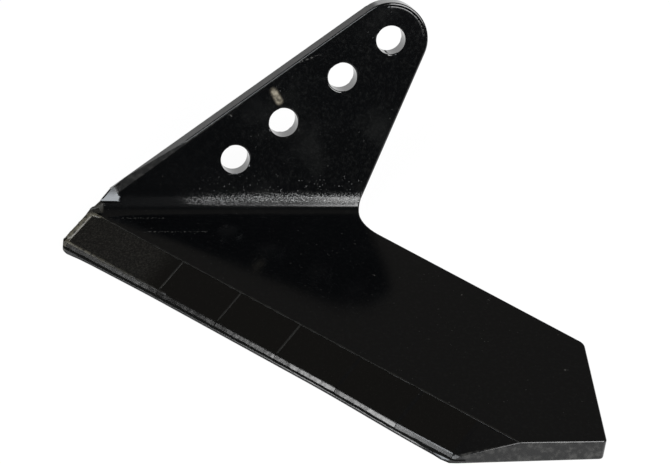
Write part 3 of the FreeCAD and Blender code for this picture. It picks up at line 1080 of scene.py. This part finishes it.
@dataclass
class BrazeWork:
    """The braze in the joints of the tile row and the paint run at the flange's tip."""

    seed: int = 11
    ridge_radius: float = 0.48 * MM
    joint_radius: float = 0.42 * MM
    joint_widths: tuple[float, ...] = (1.0, 1.0, 1.1, 2.0, 2.0)
    joint_flats: tuple[float, ...] = (0.22, 0.16, 0.15, 0.06, 0.06)
    rim_radius: float = 1.45 * MM
    run_radius: float = 0.55 * MM
    tip_run: float = 14.8 * MM
    tip_from: float = math.radians(100.0)
    tip_turn: float = math.radians(94.0)

    def build(self, braze: bpy.types.Material, gloss: bpy.types.Material) -> list[bpy.types.Object]:
        """Lay all beads.

        Args:
            braze: Paint over braze.
            gloss: The plate's paint.

        Returns:
            The beads.
        """
        chance = random.Random(self.seed)
        rough = [self.front_rim(chance), self.foot_lump(chance), self.edge_run(chance),
                 self.ridge(chance), *(self.joint(number, chance) for number in (1, 2, 3))]
        for bead in rough:
            paint(bead, braze)
        glossy = [self.joint(number, chance) for number in (4, 5)]
        glossy += [self.row_end(chance), self.tip_bead(chance)]
        for bead in glossy:
            paint(bead, gloss)
        return rough + glossy

    def radii(self, chance: random.Random, count: int, radius: float, lumps: float) -> list[float]:
        """Radii of a bead that starts and ends in a point and is lumpy between.

        Args:
            chance: Seeded randomness.
            count: How many rings.
            radius: Its usual radius.
            lumps: How much the radius varies.

        Returns:
            The radii.
        """
        ends = (0.25 * radius, 0.75 * radius)
        middle = [radius * (1.0 + lumps * chance.uniform(-1.0, 1.0)) for _ in range(count - 4)]
        return [*ends, *middle, *reversed(ends)]

    def on_bevel(self, run: float, back: float, sink: float = 0.0) -> Vector:
        """A point on the bevel that carries the tiles.

        Args:
            run: Distance along the cutting edge.
            back: Distance behind it.
            sink: How far it lies under the surface.

        Returns:
            The point.
        """
        rise = (TOP_FACE - LIP_TOP) * (back - LIP_BACK) / (RIDGE_BACK - LIP_BACK)
        point = EDGE_START + ALONG * run + INWARD * back
        point.z = LIP_TOP + rise
        return point + flare(point) - Vector(Lie.SLOPE.value) * sink

    def ridge(self, chance: random.Random) -> bpy.types.Object:
        """The seam of braze behind the tiles."""
        bead = Bead("braze_ridge", self.radii(chance, 120, self.ridge_radius, 0.35), 0.26)
        sink = 0.06 * MM
        back = RIDGE_BACK - 0.15 * MM
        return bead.straight(self.on_bevel(ROW_START, back, sink), self.on_bevel(RIDGE_END, back, sink))

    def front_rim(self, chance: random.Random) -> bpy.types.Object:
        """The roll of braze over the rim in front of the first tile."""
        bead = Bead("braze_front", self.radii(chance, 18, self.rim_radius, 0.08), 0.45)
        return bead.straight(self.on_bevel(1.9 * MM, LIP_BACK + 1.2 * MM, 0.25 * MM),
                             self.on_bevel(2.0 * MM, RIDGE_BACK - 0.8 * MM, 0.25 * MM))

    def foot_lump(self, chance: random.Random) -> bpy.types.Object:
        """The lump of braze in the corner between the first tile and the bend."""
        bead = Bead("braze_lump", self.radii(chance, 12, 0.9 * MM, 0.10), 0.6)
        return bead.straight(self.on_bevel(1.0 * MM, RIDGE_BACK - 1.6 * MM, 0.1 * MM),
                             self.on_bevel(7.5 * MM, RIDGE_BACK - 0.5 * MM, 0.3 * MM))

    def edge_run(self, chance: random.Random) -> bpy.types.Object:
        """The rough run of braze along the front of the first tile."""
        bead = Bead("braze_run", self.radii(chance, 46, 0.75 * MM, 0.24), 0.7)
        back = LIP_BACK + 0.35 * MM
        return bead.straight(self.on_bevel(ROW_START - 1.8 * MM, back, 0.20 * MM),
                             self.on_bevel(TILE_JOINTS[0] + 6.0 * MM, back, 0.50 * MM))

    def joint(self, number: int, chance: random.Random) -> bpy.types.Object:
        """The seam between two tiles.

        Args:
            number: Which joint, counted from the front.
            chance: Seeded randomness.

        Returns:
            The seam.
        """
        radius = self.joint_radius * self.joint_widths[number - 1]
        radii = self.radii(chance, 22, radius, 0.10)
        bead = Bead(f"braze_joint_{number}", radii, self.joint_flats[number - 1])
        run = TILE_JOINTS[number - 1]
        sink = 0.02 * MM
        return bead.straight(self.on_bevel(run, LIP_BACK + 0.6 * MM, sink),
                             self.on_bevel(run, RIDGE_BACK, sink))

    def row_end(self, chance: random.Random) -> bpy.types.Object:
        """The filled joint behind the last tile, painted flush."""
        bead = Bead("flush_joint", self.radii(chance, 22, 0.95 * MM, 0.0), 0.06)
        return bead.straight(self.on_bevel(ROW_END, LIP_BACK - 0.4 * MM, 0.02 * MM),
                             self.on_bevel(ROW_END, RIDGE_BACK + 0.2 * MM, 0.02 * MM))

    def tip_bead(self, chance: random.Random) -> bpy.types.Object:
        """The run of paint that dried along the flange's round tip."""
        radii = self.radii(chance, 44, self.run_radius, 0.10)
        radii[2:5] = [1.35 * radius for radius in radii[2:5]]
        bead = Bead("paint_run", radii)
        up = Vector((0.0, math.cos(BEND_ANGLE), math.sin(BEND_ANGLE)))
        sink = FLANGE_FACING * (0.5 * self.run_radius)
        centre = BOLT_HOLES[0] + FLANGE_FACING * (0.5 * PLATE) - sink
        side = Vector((1.0, 0.0, 0.0)) * math.cos(self.tip_from) + up * math.sin(self.tip_from)
        axis = Vector((1.0, 0.0, 0.0)).cross(up)
        return bead.round(centre + side * self.tip_run, centre, axis, self.tip_turn)


@dataclass
class TileRow:
    """The tiles on the cutting edge, each with its own softened corners."""

    count: int = 6
    corner: float = 0.35 * MM
    segments: int = 3

    def build(self, material: bpy.types.Material) -> list[bpy.types.Object]:
        """Copy each tile, soften its edges and paint it.

        Args:
            material: The paint.

        Returns:
            The dressed tiles.
        """
        return [self.tile(number, material) for number in range(1, self.count + 1)]

    def tile(self, number: int, material: bpy.types.Material) -> bpy.types.Object:
        """Dress one tile.

        Args:
            number: Its place in the row.
            material: The paint.

        Returns:
            The dressed tile.
        """
        node = f"carbide_tile_{number}"
        piece = copy_node(node, f"painted_tile_{number}")
        for vertex in piece.data.vertices:
            vertex.co += flare(vertex.co)
        weights = piece.data.attributes.new("bevel_weight_edge", "FLOAT", "EDGE")
        for edge in piece.data.edges:
            ends = [piece.data.vertices[index].co for index in edge.vertices]
            lengthwise = abs((ends[1] - ends[0]).normalized().dot(ALONG)) > 0.95
            weights.data[edge.index].value = 1.0 if lengthwise else 0.0
        activate(piece)
        bpy.ops.object.shade_smooth_by_angle(angle=math.radians(15.0))
        bevel = piece.modifiers.new("rounding", "BEVEL")
        bevel.limit_method = "WEIGHT"
        bevel.width = self.corner
        bevel.segments = self.segments
        weighted = piece.modifiers.new("flat_faces", "WEIGHTED_NORMAL")
        weighted.keep_sharp = True
        weighted.weight = FLAT_WEIGHT
        apply_modifiers(piece)
        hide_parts(node)
        paint(piece, material)
        return piece


@dataclass
class Softbox:
    """A square studio lamp."""

    name: str
    centre: tuple[float, float, float]
    aim: tuple[float, float, float]
    width: float
    height: float
    radiance: float
    colour: tuple[float, float, float] = (1.0, 1.0, 1.0)

    def build(self) -> bpy.types.Object:
        """Hang the lamp.

        Returns:
            The lamp.
        """
        lamp = bpy.data.lights.new(self.name, "AREA")
        lamp.shape = "RECTANGLE"
        lamp.size = self.width
        lamp.size_y = self.height
        lamp.energy = self.radiance * math.pi * self.width * self.height
        lamp.color = self.colour
        holder = bpy.data.objects.new(self.name, lamp)
        bpy.context.scene.collection.objects.link(holder)
        holder.location = self.centre
        facing = Vector(self.centre) - Vector(self.aim)
        holder.rotation_euler = facing.to_track_quat("Z", "Y").to_euler()
        holder.visible_camera = False
        return holder


@dataclass
class Studio:
    """Pale floor, dim room, soft lamps and the camera."""

    floor_size: float = 7.0
    room_radius: float = 3.4
    room: tuple[float, float, float, float] = (0.102, 0.0955, 0.0855, 1.0)
    front: tuple[float, float, float, float] = (0.030, 0.030, 0.028, 1.0)
    floor_shade: tuple[float, float, float, float] = (0.86, 0.86, 0.86, 1.0)
    floor_glow: float = 0.95
    eye: tuple[float, float, float] = (-0.19903494, -0.92715379, 0.7521514)
    turn: tuple[float, float, float] = (52.89829, -5.85149, -7.83852)
    lens: float = 149.741

    def build(self) -> None:
        """Set up floor, room, lamps, world and camera."""
        self.floor()
        self.dim_room()
        self.world()
        self.camera()
        for lamp in self.lamps():
            lamp.build()

    def lamps(self) -> Iterable[Softbox]:
        """The lamps of the studio.

        Returns:
            The softboxes.
        """
        return (
            Softbox("right_softbox", (0.63, -0.67, 0.86), (0.63, 0.0, 0.03), 0.85, 1.0, 11.5),
            Softbox("strip_light", (-0.900, -0.400, 0.575), (0.0, 0.0, 0.0), 0.105, 0.5, 16.0),
            Softbox("high_light", (-0.61, -0.11, 0.92), (0.0, 0.0, 0.0), 0.16, 0.12, 9.0),
            Softbox("left_softbox", (-0.62, -0.62, 0.98), (0.0, 0.0, 0.0), 0.7, 0.75, 10.0, COOL),
        )

    def glow(self, graph: Graph, shader: Value, colour: tuple[float, float, float, float],
             share: float) -> None:
        """Let a backdrop look evenly white to the eye and in reflections.

        Args:
            graph: The backdrop's material.
            shader: Its own shader.
            colour: The colour that it shows.
            share: How much of that colour replaces its own shading.
        """
        path = graph.node("ShaderNodeLightPath")
        seen = Value(graph, path.outputs["Is Camera Ray"])
        seen = seen.larger(Value(graph, path.outputs["Is Glossy Ray"]))
        seen = seen.larger(Value(graph, path.outputs["Is Transmission Ray"]))
        even = graph.value("ShaderNodeEmission", "Emission", {}, {"Color": colour, "Strength": 1.0})
        mixed = graph.value("ShaderNodeMixShader", "Shader", {}, {0: seen * share, 1: shader, 2: even})
        graph.node("ShaderNodeOutputMaterial", {}, {"Surface": mixed})

    def floor(self) -> None:
        """Lay the pale floor just under the share."""
        deselect()
        bpy.ops.mesh.primitive_plane_add(size=self.floor_size, location=(0.0, 0.0, -0.0002))
        floor = bpy.context.object
        floor.name = "studio_floor"
        graph = Graph("pale_floor")
        shader = graph.value("ShaderNodeBsdfDiffuse", "BSDF", {}, {"Color": self.floor_shade})
        self.glow(graph, shader, (1.0, 1.0, 1.0, 1.0), self.floor_glow)
        floor.data.materials.append(graph.material)

    def dim_room(self) -> None:
        """Close the studio with a dim dome that only reflections see."""
        deselect()
        bpy.ops.mesh.primitive_uv_sphere_add(segments=48, ring_count=24, radius=self.room_radius)
        room = bpy.context.object
        room.name = "studio_room"
        graph = Graph("dim_room")
        pale = graph.value("ShaderNodeEmission", "Emission", {}, {"Color": self.room, "Strength": 1.0})
        dark = graph.value("ShaderNodeEmission", "Emission", {}, {"Color": self.front, "Strength": 1.0})
        ahead = graph.depth(graph.place()).ramp(0.7, -0.3)
        shader = graph.value("ShaderNodeMixShader", "Shader", {}, {0: ahead, 1: pale, 2: dark})
        graph.node("ShaderNodeOutputMaterial", {}, {"Surface": shader})
        room.data.materials.append(graph.material)
        room.visible_camera = False
        room.visible_shadow = False

    def world(self) -> None:
        """Fill the background with white beyond the room."""
        world = bpy.data.worlds.new("studio_world")
        bpy.context.scene.world = world
        world.use_nodes = True
        world.node_tree.nodes["Background"].inputs["Color"].default_value = (1.0, 1.0, 1.0, 1.0)
        world.node_tree.nodes["Background"].inputs["Strength"].default_value = 1.0

    def camera(self) -> None:
        """Put the camera where the photograph was taken from."""
        camera = bpy.data.cameras.new("camera")
        camera.sensor_width = 36.0
        camera.lens = self.lens
        camera.clip_end = 50.0
        holder = bpy.data.objects.new("camera", camera)
        bpy.context.scene.collection.objects.link(holder)
        holder.location = self.eye
        holder.rotation_euler = [math.radians(angle) for angle in self.turn]
        bpy.context.scene.camera = holder
        bpy.context.scene.view_settings.view_transform = "Standard"


def main() -> None:
    """Dress the share and set up the studio."""
    logging.basicConfig(level=logging.INFO, format="%(message)s")
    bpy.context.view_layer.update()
    Studio().build()
    gloss = GlossBlack().make()
    pieces = [Plate().build(gloss)]
    pieces += TileRow().build(TilePaint().make())
    pieces += BrazeWork().build(BrazePaint().make(), gloss)
    for piece in pieces:
        LOG.info("%s: %d faces", piece.name, len(piece.data.polygons))
    deselect()


if __name__ == "__main__":
    main()
